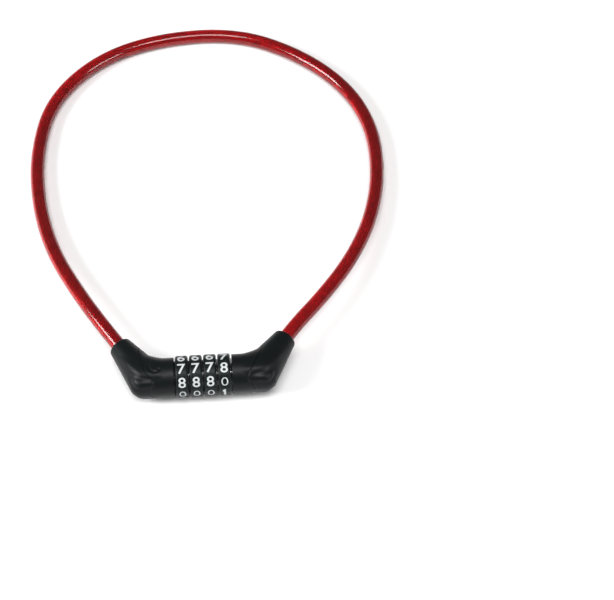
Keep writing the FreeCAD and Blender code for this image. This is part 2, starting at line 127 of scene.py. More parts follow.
class ElbowSettings(bpy.types.PropertyGroup):
    """Sizes and colours of the moulded elbows and sleeves."""
    corner: length("Corner", "Corner of an elbow from the dials' centre", 32.5 * MM)
    turn: angle("Turn", "Angle between the fixed arm and the barrel", 57.5)
    free_turn: angle("Free turn", "Angle between the free arm and the barrel", 55.0)
    arm: length("Arm", "Length of an arm from the corner to its mouth", 27.8 * MM)
    mouth: length("Mouth", "Outer radius of an elbow's mouth", 6.6 * MM)
    bore: length("Bore", "Radius of the mouth's bore around the cable", 4.42 * MM)
    lip: length("Lip", "Rounding of the mouth's lip", 1.3 * MM)
    bend: length("Bend", "Radius of the elbow's middle line", 20 * MM)
    outer_round: length("Outer round", "Softness of the bend's outer corner", 5.6 * MM)
    inner_round: length("Inner round", "Softness of the bend's inner corner", 6.0 * MM)
    seam: length("Seam", "Depth of the groove between sleeve and elbow", 0.35 * MM)
    wall: length("Wall", "Thickness of the moulding", 2.0 * MM)
    plastic: colour("Plastic", "Colour of the moulded plastic",
                    (0.0045, 0.0062, 0.0068))


class DialSettings(bpy.types.PropertyGroup):
    """Sizes and colours of the number dials."""
    digits: IntProperty(name="Digits", description="Digits round one dial",
                        default=9, min=2)
    height: length("Digit height", "Height of a digit round the dial", 6.2 * MM)
    width: length("Digit width", "Width of a digit along the barrel", 4.6 * MM)
    chamfer: length("Chamfer", "Chamfer of a dial's edges", 0.8 * MM)
    panel_depth: length("Panel depth", "Depth of the panel behind a digit", 0.18 * MM)
    plastic: colour("Dial", "Colour of a dial", (0.0040, 0.0078, 0.0082))
    ink: colour("Digits", "Colour of the digits", (0.52, 0.55, 0.55))


class StageSettings(bpy.types.PropertyGroup):
    """The camera, the floor and the lights."""
    camera: FloatVectorProperty(name="Camera", description="Place of the camera",
                                default=(0.0161, -0.6177, 0.9383), subtype="XYZ",
                                unit="LENGTH")
    tilt: angle("Tilt", "Camera's tilt from straight down", 35.5)
    swing: angle("Swing", "Camera's turn about the vertical", -4.05)
    lens: FloatProperty(name="Lens", description="Focal length in millimetres",
                        default=113.65)
    floor: colour("Floor", "Colour of the floor", (0.92, 0.92, 0.92))


SETTINGS = {"cable": CableSettings, "elbow": ElbowSettings, "dial": DialSettings,
            "stage": StageSettings}


def settings(group):
    return getattr(bpy.context.scene, "lock_" + group)


# ---------------------------------------------------------------- finishes

class Value:
    """An output socket of a finish, with arithmetic that adds Math nodes."""

    def __init__(self, finish, socket):
        self.finish = finish
        self.socket = socket

    def __add__(self, other):
        return self.finish.math("ADD", self, other)

    def __sub__(self, other):
        return self.finish.math("SUBTRACT", self, other)

    def __rsub__(self, other):
        return self.finish.math("SUBTRACT", other, self)

    def __mul__(self, other):
        return self.finish.math("MULTIPLY", self, other)

    __radd__ = __add__
    __rmul__ = __mul__


class Finish:
    """A node material, built one expression at a time."""

    def __init__(self, name):
        self.material = bpy.data.materials.new(name)
        self.material.use_nodes = True
        self.tree = self.material.node_tree
        self.tree.nodes.clear()
        self.place = self.node("ShaderNodeTexCoord", output="Object")

    def node(self, kind, set_to=None, values=None, output=0):
        made = self.tree.nodes.new(kind)
        for name, setting in (set_to or {}).items():
            if name == "stops":
                self.set_stops(made.color_ramp, setting)
            else:
                setattr(made, name, setting)
        for name, value in (values or {}).items():
            if isinstance(value, Value):
                self.tree.links.new(value.socket, made.inputs[name])
            else:
                made.inputs[name].default_value = value
        return Value(self, made.outputs[output]) if made.outputs else None

    @staticmethod
    def set_stops(ramp, stops):
        while len(ramp.elements) < len(stops):
            ramp.elements.new(1.0)
        for element, (position, shade) in zip(ramp.elements, stops):
            element.position = position
            element.color = (*shade, 1.0)

    def math(self, operation, a, b):
        return self.node("ShaderNodeMath", {"operation": operation}, {0: a, 1: b})

    def noise(self, scale, detail, roughness, place=None):
        """Noise with so many lumps to a metre."""
        return self.node("ShaderNodeTexNoise", {"noise_dimensions": "3D"},
                         {"Vector": place or self.place, "Scale": scale,
                          "Detail": detail, "Roughness": roughness})

    def between(self, value, low, high):
        """How far value has risen from low to high, from 0 to 1."""
        return self.node("ShaderNodeMapRange", {"interpolation_type": "SMOOTHSTEP"},
                         {"Value": value, "From Min": low, "From Max": high})

    def blend(self, factor, first, second):
        """A mix of two colours, each a Value or three numbers."""
        def rgba(shade):
            return shade if isinstance(shade, Value) else (*shade, 1.0)
        return self.node("ShaderNodeMix", {"data_type": "RGBA"},
                         {0: factor, 6: rgba(first), 7: rgba(second)}, output=2)

    def stretched(self, scale):
        return self.node("ShaderNodeMapping", None,
                         {"Vector": self.place, "Scale": scale})

    def bump(self, height, distance, strength):
        """A normal from a height of 0 to 1, with distance as its metres."""
        return self.node("ShaderNodeBump", None,
                         {"Height": height, "Distance": distance, "Strength": strength})

    def done(self, **inputs):
        """Closes the material with a Principled shader and returns it."""
        named = {key.replace("_", " "): value for key, value in inputs.items()}
        for key, value in named.items():
            if isinstance(value, tuple) and len(value) == 3:
                named[key] = (*value, 1.0)
        surface = self.node("ShaderNodeBsdfPrincipled", None, named)
        self.node("ShaderNodeOutputMaterial", None, {"Surface": surface})
        return self.material


PLASTIC_IOR = 1.46
JACKET_IOR = 1.5
# Lumps to a metre along the barrel and across it, for rings left by a lathe.
LATHE_RINGS = (900.0, 40.0, 40.0)


def shade(colour_value, factor):
    return tuple(min(1.0, part * factor) for part in colour_value)


def moulded_plastic(name, base, rough=0.36, grain=0.00003):
    """Satin black plastic: fine moulded grain, faint flow marks and rubbed patches."""
    f = Finish(name)
    grain_height = f.noise(2600.0, 2.0, 0.6)
    orange_peel = f.noise(420.0, 2.0, 0.5)
    rubbed = f.between(f.noise(55.0, 4.0, 0.6), 0.48, 0.72)
    dust = f.between(f.noise(900.0, 2.0, 0.7), 0.66, 0.78)
    tone = f.blend(rubbed * 0.55, shade(base, 0.85), shade(base, 1.5))
    tone = f.blend(dust * 0.18, tone, shade(base, 4.0))
    roughness = rough + 0.10 * orange_peel - 0.07 * rubbed + 0.12 * dust
    height = grain_height * 0.7 + orange_peel * 1.3
    return f.done(Base_Color=tone, Roughness=roughness, IOR=PLASTIC_IOR,
                  Specular_IOR_Level=0.18, Normal=f.bump(height, grain, 0.8))


def jacket_pvc(base):
    """Clear coloured PVC with a wet gloss and slight waviness."""
    f = Finish("jacket_pvc")
    wave = f.noise(70.0, 2.0, 0.5)
    scuff = f.between(f.noise(600.0, 4.0, 0.65), 0.60, 0.80)
    tone = f.blend(f.between(wave, 0.35, 0.7) * 0.5, shade(base, 0.92), base)
    return f.done(Base_Color=tone, Roughness=0.12 + 0.08 * scuff, IOR=JACKET_IOR,
                  Transmission_Weight=0.95, Specular_IOR_Level=0.5,
                  Normal=f.bump(wave, 0.0002, 0.5))


def strand_steel(base):
    """Drawn steel strands with fine wires and a little tarnish in the lays."""
    f = Finish("strand_steel")
    wires = f.noise(1500.0, 2.0, 0.5)
    tarnish = f.between(f.noise(160.0, 3.0, 0.6), 0.45, 0.75)
    tone = f.blend(tarnish * 0.6, base, shade(base, 0.45))
    return f.done(Base_Color=tone, Metallic=0.85, Roughness=0.30 + 0.16 * tarnish,
                  Normal=f.bump(wires, 0.00006, 0.6))


def digit_ink(base):
    """White infill of the digits, very slightly uneven."""
    f = Finish("digit_ink")
    speckle = f.noise(1800.0, 3.0, 0.6)
    tone = f.blend(f.between(speckle, 0.4, 0.75) * 0.35, base, shade(base, 0.80))
    return f.done(Base_Color=tone, Roughness=0.5 + 0.1 * speckle, IOR=PLASTIC_IOR,
                  Normal=f.bump(speckle, 0.00002, 0.5))


def turned_metal(name, base, rough):
    """Metal turned on a lathe: fine rings square to the barrel."""
    f = Finish(name)
    rings = f.noise(1.0, 3.0, 0.6, f.stretched(LATHE_RINGS))
    stain = f.between(f.noise(120.0, 4.0, 0.6), 0.42, 0.75)
    tone = f.blend(stain * 0.5, base, shade(base, 0.62))
    roughness = rough + 0.14 * stain + 0.06 * rings
    return f.done(Base_Color=tone, Metallic=1.0, Roughness=roughness,
                  Normal=f.bump(rings, 0.00002, 0.6))


def cast_metal(name, base):
    """Die-cast zinc: dull, lightly pebbled."""
    f = Finish(name)
    pebble = f.noise(1100.0, 3.0, 0.6)
    cloud = f.between(f.noise(90.0, 4.0, 0.6), 0.4, 0.7)
    tone = f.blend(cloud, shade(base, 0.75), base)
    return f.done(Base_Color=tone, Metallic=0.9, Roughness=0.45 + 0.15 * pebble,
                  Normal=f.bump(pebble, 0.00005, 0.7))


def floor_card(base):
    """Plain pale card."""
    f = Finish("floor_card")
    tooth = f.noise(300.0, 2.0, 0.5)
    tone = f.blend(tooth * 0.2, base, shade(base, 0.985))
    return f.done(Base_Color=tone, Roughness=0.9)


# ---------------------------------------------------------------- meshes

def link(name, mesh, material):
    piece = bpy.data.objects.new(name, mesh)
    bpy.context.scene.collection.objects.link(piece)
    mesh.materials.clear()
    mesh.materials.append(material)
    for face in mesh.polygons:
        face.use_smooth = True
    return piece


def closed_grid(name, rings, material):
    """A closed skin through rings of points, the last ring joined to the first."""
    rows, columns = rings.shape[:2]
    index = np.arange(rows * columns).reshape(rows, columns)
    below = np.roll(index, -1, axis=0)
    faces = np.stack([index, np.roll(index, -1, 1), np.roll(below, -1, 1), below], -1)
    mesh = bpy.data.meshes.new(name)
    mesh.from_pydata(rings.reshape(-1, 3).tolist(), [], faces.reshape(-1, 4).tolist())
    bm = bmesh.new()
    bm.from_mesh(mesh)
    bmesh.ops.recalc_face_normals(bm, faces=bm.faces)
    bm.to_mesh(mesh)
    bm.free()
    return link(name, mesh, material)


def sharpen(piece, degrees=32):
    """Edges that turn by more than so many degrees stay crisp."""
    piece.data.set_sharp_from_angle(angle=math.radians(degrees))
    return piece


def smooth_step(t):
    t = np.clip(t, 0, 1)
    return t * t * (3 - 2 * t)


def eased(at, places, values):
    """A smooth curve through a few values."""
    places = np.asarray(places, float)
    values = np.asarray(values, float)
    slopes = np.gradient(values, places)
    i = np.clip(np.searchsorted(places, at) - 1, 0, len(places) - 2)
    width = places[i + 1] - places[i]
    t = np.clip((at - places[i]) / width, 0, 1)
    later = 3 * t ** 2 - 2 * t ** 3
    level = values[i] * (1 - later) + values[i + 1] * later
    rise = slopes[i] * (t ** 3 - 2 * t ** 2 + t) + slopes[i + 1] * (t ** 3 - t ** 2)
    return level + rise * width


# ---------------------------------------------------------------- cable

JACKET_STEP, JACKET_SIDES = 0.0015, 40
ROPE_STEP, STRAND_SIDES, CORE_SIDES = 0.0012, 9, 12
STRAND_FIT = 0.95   # a strand's share of the room that it has beside its neighbours
CORE_DEPTH = 1.75   # how far in the core lies, in strand radii


def route_line():
    """Points along the cable's middle line, read from its NURBS route."""
    curve = bpy.data.curves.new("cable_route", "CURVE")
    curve.dimensions = "3D"
    curve.resolution_u = 16
    spline = curve.splines.new("NURBS")
    spline.points.add(len(CABLE_ROUTE) - 1)
    for point, (x, y, z) in zip(spline.points, CABLE_ROUTE):
        point.co = (x * MM, y * MM + AXIS_Y, z * MM, 1.0)
    spline.order_u = 3
    spline.use_endpoint_u = True
    holder = bpy.data.objects.new("cable_route", curve)
    bpy.context.scene.collection.objects.link(holder)
    line = bpy.data.meshes.new_from_object(holder)
    bpy.data.objects.remove(holder)
    return line


class Nodes:
    """A geometry node tree, with named inputs."""

    def __init__(self, name, inputs):
        self.tree = bpy.data.node_groups.new(name, "GeometryNodeTree")
        face = self.tree.interface
        face.new_socket("Geometry", in_out="OUTPUT", socket_type="NodeSocketGeometry")
        face.new_socket("Geometry", in_out="INPUT", socket_type="NodeSocketGeometry")
        self.named = {}
        for label, (kind, value) in inputs.items():
            socket = face.new_socket(label, in_out="INPUT",
                                     socket_type="NodeSocket" + kind)
            self.named[label] = (socket.identifier, value)
        self.entry = self.tree.nodes.new("NodeGroupInput")
        self.exit = self.tree.nodes.new("NodeGroupOutput")

    def input(self, label):
        return self.entry.outputs[label]

    def add(self, kind, set_to=None, values=None, output=0):
        made = self.tree.nodes.new(kind)
        for name, setting in (set_to or {}).items():
            setattr(made, name, setting)
        for name, value in (values or {}).items():
            if isinstance(value, bpy.types.NodeSocket):
                self.tree.links.new(value, made.inputs[name])
            else:
                made.inputs[name].default_value = value
        return made.outputs[output]

    def circle(self, sides, radius):
        return self.add("GeometryNodeCurvePrimitiveCircle", {"mode": "RADIUS"},
                        {"Resolution": sides, "Radius": radius})

    def finish(self, geometry, material):
        real = self.add("GeometryNodeRealizeInstances", None, {"Geometry": geometry})
        done = self.add("GeometryNodeSetMaterial", None,
                        {"Geometry": real, "Material": material})
        self.tree.links.new(done, self.exit.inputs[0])

    def applied(self, name, mesh, material):
        """The tree's result on a mesh, as a plain mesh object."""
        holder = bpy.data.objects.new(name + "_holder", mesh)
        bpy.context.scene.collection.objects.link(holder)
        modifier = holder.modifiers.new("shape", "NODES")
        modifier.node_group = self.tree
        for identifier, value in self.named.values():
            modifier[identifier] = value
        bpy.context.view_layer.update()
        solid = bpy.data.meshes.new_from_object(
            holder.evaluated_get(bpy.context.evaluated_depsgraph_get()))
        bpy.data.objects.remove(holder)
        return link(name, solid, material)


def swept_tree(name, step, inputs):
    """A tree that makes the route an evenly divided curve, level with the floor."""
    nodes = Nodes(name, inputs)
    line = nodes.add("GeometryNodeMeshToCurve", None, {"Mesh": nodes.input("Geometry")})
    line = nodes.add("GeometryNodeResampleCurve", {"mode": "LENGTH"},
                     {"Curve": line, "Length": step})
    line = nodes.add("GeometryNodeSetCurveNormal", {"mode": "Z_UP"}, {"Curve": line})
    return nodes, line


def make_jacket(look, line, material):
    nodes, curve = swept_tree("jacket_shape", JACKET_STEP,
                              {"Radius": ("Float", look.diameter / 2)})
    ring = nodes.circle(JACKET_SIDES, nodes.input("Radius"))
    tube = nodes.add("GeometryNodeCurveToMesh", None,
                     {"Curve": curve, "Profile Curve": ring, "Fill Caps": True})
    nodes.finish(tube, material)
    return nodes.applied("cable_jacket", line, material)


def make_rope(look, line, material):
    """Strands laid round a core: a ring of small circles swept along the route,
    turning once in each lay."""
    share = math.sin(math.pi / look.strands)
    strand = look.rope_radius * share / (1 + share) * STRAND_FIT
    nodes, curve = swept_tree("rope_shape", ROPE_STEP, {
        "Lay": ("Float", look.lay),
        "Strands": ("Int", look.strands),
        "Strand": ("Float", strand),
        "Ring": ("Float", look.rope_radius - strand),
        "Core": ("Float", look.rope_radius - CORE_DEPTH * strand)})
    along = nodes.add("GeometryNodeSplineParameter", output="Length")
    turns = nodes.add("ShaderNodeMath", {"operation": "DIVIDE"},
                      {0: along, 1: nodes.input("Lay")})
    tilt = nodes.add("ShaderNodeMath", {"operation": "MULTIPLY"},
                     {0: turns, 1: math.tau})
    curve = nodes.add("GeometryNodeSetCurveTilt", None, {"Curve": curve, "Tilt": tilt})
    places = nodes.add("GeometryNodeMeshCircle", None, {
        "Vertices": nodes.input("Strands"), "Radius": nodes.input("Ring")})
    strand_ring = nodes.circle(STRAND_SIDES, nodes.input("Strand"))
    ring = nodes.add("GeometryNodeInstanceOnPoints", None,
                     {"Points": places, "Instance": strand_ring})
    ring = nodes.add("GeometryNodeRealizeInstances", None, {"Geometry": ring})
    core = nodes.circle(CORE_SIDES, nodes.input("Core"))
    profile = nodes.add("GeometryNodeJoinGeometry")
    for part in (ring, core):
        nodes.tree.links.new(part, profile.node.inputs[0])
    rope = nodes.add("GeometryNodeCurveToMesh", None,
                     {"Curve": curve, "Profile Curve": profile, "Fill Caps": True})
    nodes.finish(rope, material)
    return nodes.applied("wire_rope", line, material)


class LOCK_OT_cable(bpy.types.Operator):
    """Make the cable: a clear jacket over a stranded steel rope"""
    bl_idname = "lock.cable"
    bl_label = "Cable"

    def execute(self, context):
        look = settings("cable")
        line = route_line()
        jacket = make_jacket(look, line.copy(), jacket_pvc(tuple(look.jacket)))
        rope = make_rope(look, line.copy(), strand_steel(tuple(look.steel)))
        for piece in (jacket, rope):
            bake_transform(piece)
        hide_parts("cable_jacket_fixed_half", "cable_jacket_free_half")
        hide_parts("wire_rope_fixed_half", "wire_rope_free_half")
        elbow = settings("elbow")
        mouth = Vector((-elbow.corner - elbow.arm * math.cos(elbow.turn),
                        AXIS_Y + elbow.arm * math.sin(elbow.turn), AXIS_Z))
        return {"FINISHED"}


# ---------------------------------------------------------------- elbows and sleeves

# The chevron seam, as (degrees round from the outer side, millimetres from the
# dials' centre).  One face of the moulding has its tip nearer the dials than
# the other, and the two ends of the lock show opposite faces.
SEAM_FAR_FACE = [(0, 29.8), (21, 29.6), (40, 28.4), (54, 29.2), (64, 31.4),
                 (79, 33.4), (98, 35.2), (130, 36.4), (180, 37.0)]
SEAM_NEAR_FACE = [(0, 29.8), (22, 27.8), (46, 25.4), (57, 26.2), (78, 28.6),
                  (97, 31.2), (114, 33.0), (140, 34.8), (180, 37.0)]

# The ornament on the moulding: a valley hooked round a raised oval, a soft
# raised band beside it and a small curl, in millimetres along and round the
# surface.  The valley fades in from its start, the band fades out towards its
# end, and the curl is on the far face only.
OVAL_CENTRE, OVAL_HALF = (13.4, 7.6), (4.6, 2.7)
VALLEY = [(10.0, 10.2), (14.0, 10.6), (17.2, 10.2), (19.2, 8.4), (18.8, 6.0),
          (16.4, 4.4)]
VALLEY_START, VALLEY_FADE = 9.0, 6.0
BAND = [(31.0, 9.0), (22.0, 11.6), (15.0, 13.6), (9.0, 13.4)]
BAND_END, BAND_FADE = 33.0, 9.0
CURL = [(14.6, 18.2), (13.6, 16.4), (12.2, 15.1), (10.3, 14.4), (8.7, 14.9),
        (8.1, 16.4)]
VALLEY_WIDTH, BAND_WIDTH, CURL_WIDTH = 2.3, 3.8, 1.2
OVAL_RISE, VALLEY_DEPTH, BAND_RISE, CURL_DEPTH = 0.48, 0.32, 0.42, 0.36

COLUMNS = 240             # points round the moulding
SEAM_FLOOR = 0.8 * MM     # wall left under the seam's groove
COLLAR_ROOM = 0.4 * MM    # clearance of the sleeve's bore round the end collar
FACE_ROUND = 0.3 * MM     # rounding of the sleeve's face beside the dials
MOUTH_ROUND = 0.35 * MM   # rounding of the edge of the mouth's bore
MOUTH_DEPTH = 6 * MM      # length of the mouth's bore
PAD_TOP = 0.55 * AXIS_Z   # height below which the underside goes into the pad
PAD_BLEND = 0.45          # width of the slope round a pad, in its radii


def soft_min(a, b, width):
    """The smaller of a and b, rounded where they are within width of each other;
    with a negative width, the larger of them."""
    near = np.maximum(1 - np.abs(a - b) / abs(width), 0)
    plain = np.minimum(a, b) if width > 0 else np.maximum(a, b)
    return plain - near ** 2 * width / 4


def oval(along, across, centre, half):
    """A soft oval, 1 on its top and 0 outside."""
    away = np.hypot((along - centre[0]) / half[0], (across - centre[1]) / half[1])
    return smooth_step(1.25 - away)


def groove(along, across, stroke, width):
    """A soft groove along a stroke of points, 1 on its line."""
    nearest = np.full(along.shape, np.inf)
    for (a0, b0), (a1, b1) in zip(stroke, stroke[1:]):
        run_a, run_b = a1 - a0, b1 - b0
        share = (along - a0) * run_a + (across - b0) * run_b
        share = np.clip(share / (run_a ** 2 + run_b ** 2), 0, 1)
        away = np.hypot(along - a0 - share * run_a, across - b0 - share * run_b)
        nearest = np.minimum(nearest, away)
    return smooth_step(1 - nearest / width)


class Elbow:
    """The moulding at one end of the head, as a surface over (along, around):
    along in metres on its middle line, around in radians from the outer side of
    the bend, positive over the top."""

    def __init__(self, look, side):
        self.look = look
        self.side = side
        self.turn = look.turn if side < 0 else look.free_turn
        tangent = look.bend * math.tan(self.turn / 2)
        self.straight = look.corner - SLEEVE_FACE - tangent
        self.arc = look.bend * self.turn
        self.arm = look.arm - tangent
        self.length = self.straight + self.arc + self.arm
        self.to_corner = self.straight + self.arc / 2

    def frame(self, along):
        """Middle point and outward direction in the bend's plane."""
        turn = np.clip((along - self.straight) / self.look.bend, 0, self.turn)
        before = np.minimum(along, self.straight)
        beyond = np.maximum(along - self.straight - self.arc, 0)
        sine, cosine = np.sin(turn), np.cos(turn)
        x = SLEEVE_FACE + before + self.look.bend * sine + beyond * cosine
        y = self.look.bend * (1 - cosine) + beyond * sine
        return x, y, sine, -cosine

    def wall(self, along, facing):
        """How far the arm's tapering wall lies from the middle line, on the outer
        side of the bend (facing 1) or on its inner side (facing -1)."""
        look = self.look
        x, y, out_x, out_y = self.frame(along)
        lean = self.turn + facing * math.atan((BODY_RADIUS - look.mouth) / look.arm)
        normal_x, normal_y = math.sin(lean), -math.cos(lean)
        wall_x = look.corner + facing * BODY_RADIUS * math.sin(self.turn)
        wall_y = -facing * BODY_RADIUS * math.cos(self.turn)
        away = normal_x * (wall_x - x) + normal_y * (wall_y - y)
        return away / (normal_x * out_x + normal_y * out_y) * facing

    def reach(self, along):
        """Reach outwards, reach inwards and half height of the moulding."""
        look = self.look
        y, out_y = self.frame(along)[1::2]
        outward = soft_min((BODY_RADIUS + y) / -out_y, self.wall(along, 1),
                           look.outer_round)
        inward = -soft_min((y - BODY_RADIUS) / -out_y, -self.wall(along, -1),
                           look.inner_round)
        past = soft_min(along - self.to_corner, 0, -look.inner_round)
        taper = (BODY_RADIUS - look.mouth) / (self.length - self.to_corner)
        height = BODY_RADIUS - taper * past
        return outward, inward, height

    def point(self, along, around, sunk=0.0):
        """The surface's point, pushed in by sunk metres."""
        x, y, out_x, out_y = self.frame(along)
        outward, inward, height = self.reach(along)
        across = np.where(np.cos(around) > 0, outward, inward) * np.cos(around)
        up = height * np.sin(around)
        size = np.hypot(across, up)
        keep = 1 - sunk / np.maximum(size, 1e-9)
        across, up = across * keep, up * keep
        return np.stack([self.side * (x + out_x * across), AXIS_Y + y + out_y * across,
                         AXIS_Z + up], -1)

    def on_far_face(self, around):
        """Which columns lie on the far face, the upper one at the fixed end only."""
        over_top = np.sin(around) >= 0
        return over_top if self.side < 0 else ~over_top

    def seam(self, around):
        """Distance along the middle line at which the seam crosses each column."""
        degrees = np.degrees(np.abs(around))
        places = np.where(self.on_far_face(around),
                          eased(degrees, *np.array(SEAM_FAR_FACE).T),
                          eased(degrees, *np.array(SEAM_NEAR_FACE).T)) * MM
        steps = np.linspace(0, self.length * 0.75, 200)
        grid = self.side * self.point(steps[:, None], around[None, :])[..., 0]
        found = [np.interp(place, np.maximum.accumulate(column), steps)
                 for place, column in zip(places, grid.T)]
        return np.array(found)

    def relief(self, along, around):
        """Height of the moulded ornament, in metres, positive outwards."""
        at = along / MM, np.abs(around) * BODY_RADIUS / MM
        valley_in = smooth_step((at[0] - VALLEY_START) / VALLEY_FADE)
        band_out = smooth_step((BAND_END - at[0]) / BAND_FADE)
        curl = np.where(self.on_far_face(around), groove(*at, CURL, CURL_WIDTH), 0)
        return MM * (OVAL_RISE * oval(*at, OVAL_CENTRE, OVAL_HALF)
                     - VALLEY_DEPTH * groove(*at, VALLEY, VALLEY_WIDTH) * valley_in
                     + BAND_RISE * groove(*at, BAND, BAND_WIDTH) * band_out
                     - CURL_DEPTH * curl)

    def skin(self, along, around, from_seam):
        """The moulded surface, let down into the groove at the seam."""
        seam = self.look.seam
        sunk = seam * (1 - smooth_step(from_seam / (1.3 * seam)))
        return self.point(along, around, sunk - self.relief(along, around))


def edge_steps(count):
    """Shares from 0 to 1, closer together at both ends."""
    t = np.linspace(0, 1, count)
    return (t + smooth_step(t)) / 2


def press_pad(points, place):
    """Flattens the underside into a rest pad that stands on the surface."""
    away = np.hypot(points[..., 0] - place[0], points[..., 1] - place[1])
    under = points[..., 2] < PAD_TOP
    pull = smooth_step((1 + PAD_BLEND - away / PAD_RADIUS) / PAD_BLEND) * under
    points[..., 2] -= points[..., 2] * pull


def make_sleeve(elbow, name, material):
    """From the face beside the dials to the seam, and back along the inside."""
    look = elbow.look
    around = np.linspace(-math.pi, math.pi, COLUMNS, endpoint=False)
    seam = elbow.seam(around)
    rings = []
    for turn in np.linspace(0, math.pi / 2, 6):
        rings.append(elbow.point(FACE_ROUND * (1 - math.cos(turn)), around,
                                 FACE_ROUND * (1 - math.sin(turn))))
    for share in edge_steps(70)[1:]:
        along = FACE_ROUND + (seam - FACE_ROUND) * share
        rings.append(elbow.skin(along, around, seam - along))
    rings.append(elbow.point(seam, around, look.seam + SEAM_FLOOR))
    for share in (0.97, 0.5):
        rings.append(elbow.point(seam * share, around, look.wall))
    face = elbow.point(0.0, around)[..., 1:] - (AXIS_Y, AXIS_Z)
    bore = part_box("end_collar")[1].z - AXIS_Z + COLLAR_ROOM
    rings.append(elbow.point(0.0, around, np.hypot(*face.T) - bore))
    return sharpen(closed_grid(name, np.array(rings), material))


def make_cover(elbow, name, material):
    """From the seam round the corner to the mouth, and back along the inside."""
    look = elbow.look
    around = np.linspace(-math.pi, math.pi, COLUMNS, endpoint=False)
    seam = elbow.seam(around)
    lip_start = elbow.length - look.lip
    rings = []
    for share in edge_steps(120):
        along = seam + (lip_start - seam) * share
        rings.append(elbow.skin(along, around, along - seam))
    for turn in np.linspace(0, math.pi / 2, 9)[1:]:
        rings.append(elbow.point(lip_start + look.lip * math.sin(turn), around,
                                 look.lip * (1 - math.cos(turn))))
    outside = len(rings)
    bore_end = elbow.length - MOUTH_DEPTH
    for along, bore in ((elbow.length, look.bore + MOUTH_ROUND),
                        (elbow.length - MOUTH_ROUND, look.bore), (bore_end, look.bore)):
        rings.append(elbow.point(along, around, elbow.reach(along)[0] - bore))
    for share in (0.25, 0.5, 0.75, 0.95):
        along = bore_end + (seam - bore_end) * share
        rings.append(elbow.point(along, around, look.wall))
    rings.append(elbow.point(seam, around, look.seam + SEAM_FLOOR))
    points = np.array(rings)
    press_pad(points[:outside], (elbow.side * PAD_PLACE, AXIS_Y))
    return sharpen(closed_grid(name, points, material))


class LOCK_OT_elbows(bpy.types.Operator):
    """Make the moulded elbows and sleeves at both ends of the head"""
    bl_idname = "lock.elbows"
    bl_label = "Elbows and sleeves"

    def execute(self, context):
        look = settings("elbow")
        plastic = moulded_plastic("elbow_plastic", tuple(look.plastic))
        for side, end in ((-1, "fixed"), (1, "free")):
            elbow = Elbow(look, side)
            sleeve = make_sleeve(elbow, end + "_sleeve_moulding", plastic)
            cover = make_cover(elbow, end + "_elbow_moulding", plastic)
            for piece, node in ((sleeve, end + "_sleeve"),
                                (cover, end + "_elbow_cover")):
                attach(piece, end + "_end")
                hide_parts(node)
        return {"FINISHED"}


# ---------------------------------------------------------------- dials

# Degrees from straight up, over towards the front, of the panel with the digit 8
# on each dial.
EIGHT_AT = (50.5, 50.5, 50.5, 13.5)
DIAL_COLUMNS = 432         # points round a dial
EDGE_SOFT = 0.12 * MM      # softening of the chamfer's two edges
PANEL_GAP = 0.45 * MM      # half the ridge between two panels
PANEL_SIDE = 0.25 * MM     # rim between a panel and the chamfer
PANEL_WALL = 0.3 * MM      # width over which a panel's wall slopes down
DIGIT_RISE = 0.10 * MM     # a digit's face above the floor of its panel
DIGIT_ROOT = 0.06 * MM     # and its back below that floor


def dial_point(place, x, turn, radius):
    """A point round a dial: turn in radians from straight up, over to the front."""
    return np.stack([place[0] + x, AXIS_Y - radius * np.sin(turn),
                     AXIS_Z + radius * np.cos(turn)], -1)


def make_dial(look, place, start, name, material):
    """A ring with chamfered edges and a shallow panel behind each digit."""
    half, chamfer, soft = DIAL_HALF_WIDTH, look.chamfer, EDGE_SOFT
    edge = [(-half, DIAL_BORE), (-half, DIAL_RADIUS - chamfer - soft),
            (-half + 0.35 * soft, DIAL_RADIUS - chamfer + 0.35 * soft),
            (-half + chamfer - 0.8 * soft, DIAL_RADIUS - 0.8 * soft)]
    crown = [(x, DIAL_RADIUS) for x in
             np.linspace(-half + chamfer + soft, half - chamfer - soft, 31)]
    other_edge = [(-x, radius) for x, radius in reversed(edge)]
    turn = np.linspace(0, math.tau, DIAL_COLUMNS, endpoint=False)
    pitch = math.tau / look.digits
    from_centre = (turn - start + pitch / 2) % pitch - pitch / 2
    inside = pitch * DIAL_RADIUS / 2 - PANEL_GAP - np.abs(from_centre) * DIAL_RADIUS
    rows = []
    for x, radius in edge + crown + other_edge:
        sunk = 0.0
        if radius == DIAL_RADIUS:
            in_width = smooth_step((half - chamfer - PANEL_SIDE - abs(x)) / PANEL_WALL)
            sunk = look.panel_depth * in_width * smooth_step(inside / PANEL_WALL)
        rows.append(dial_point(place, np.full_like(turn, x), turn, radius - sunk))
    return sharpen(closed_grid(name, np.array(rows), material), 25)


# The digits' proportions: share of the full width, share of the full height and
# how much heavier or lighter the stroke is drawn.  The one has its own outline,
# in shares of the full width and height.
DIGIT_FORMS = {0: (0.84, 0.80, -0.010), 7: (1.0, 1.0, 0.010)}
OTHER_DIGITS = (0.91, 1.0, 0.010)
DIGIT_ONE = [(-0.22, -0.5), (0.08, -0.5), (0.08, 0.5), (-0.10, 0.5), (-0.36, 0.34),
             (-0.36, 0.18), (-0.22, 0.22)]
DIGIT_STRIPS = 16


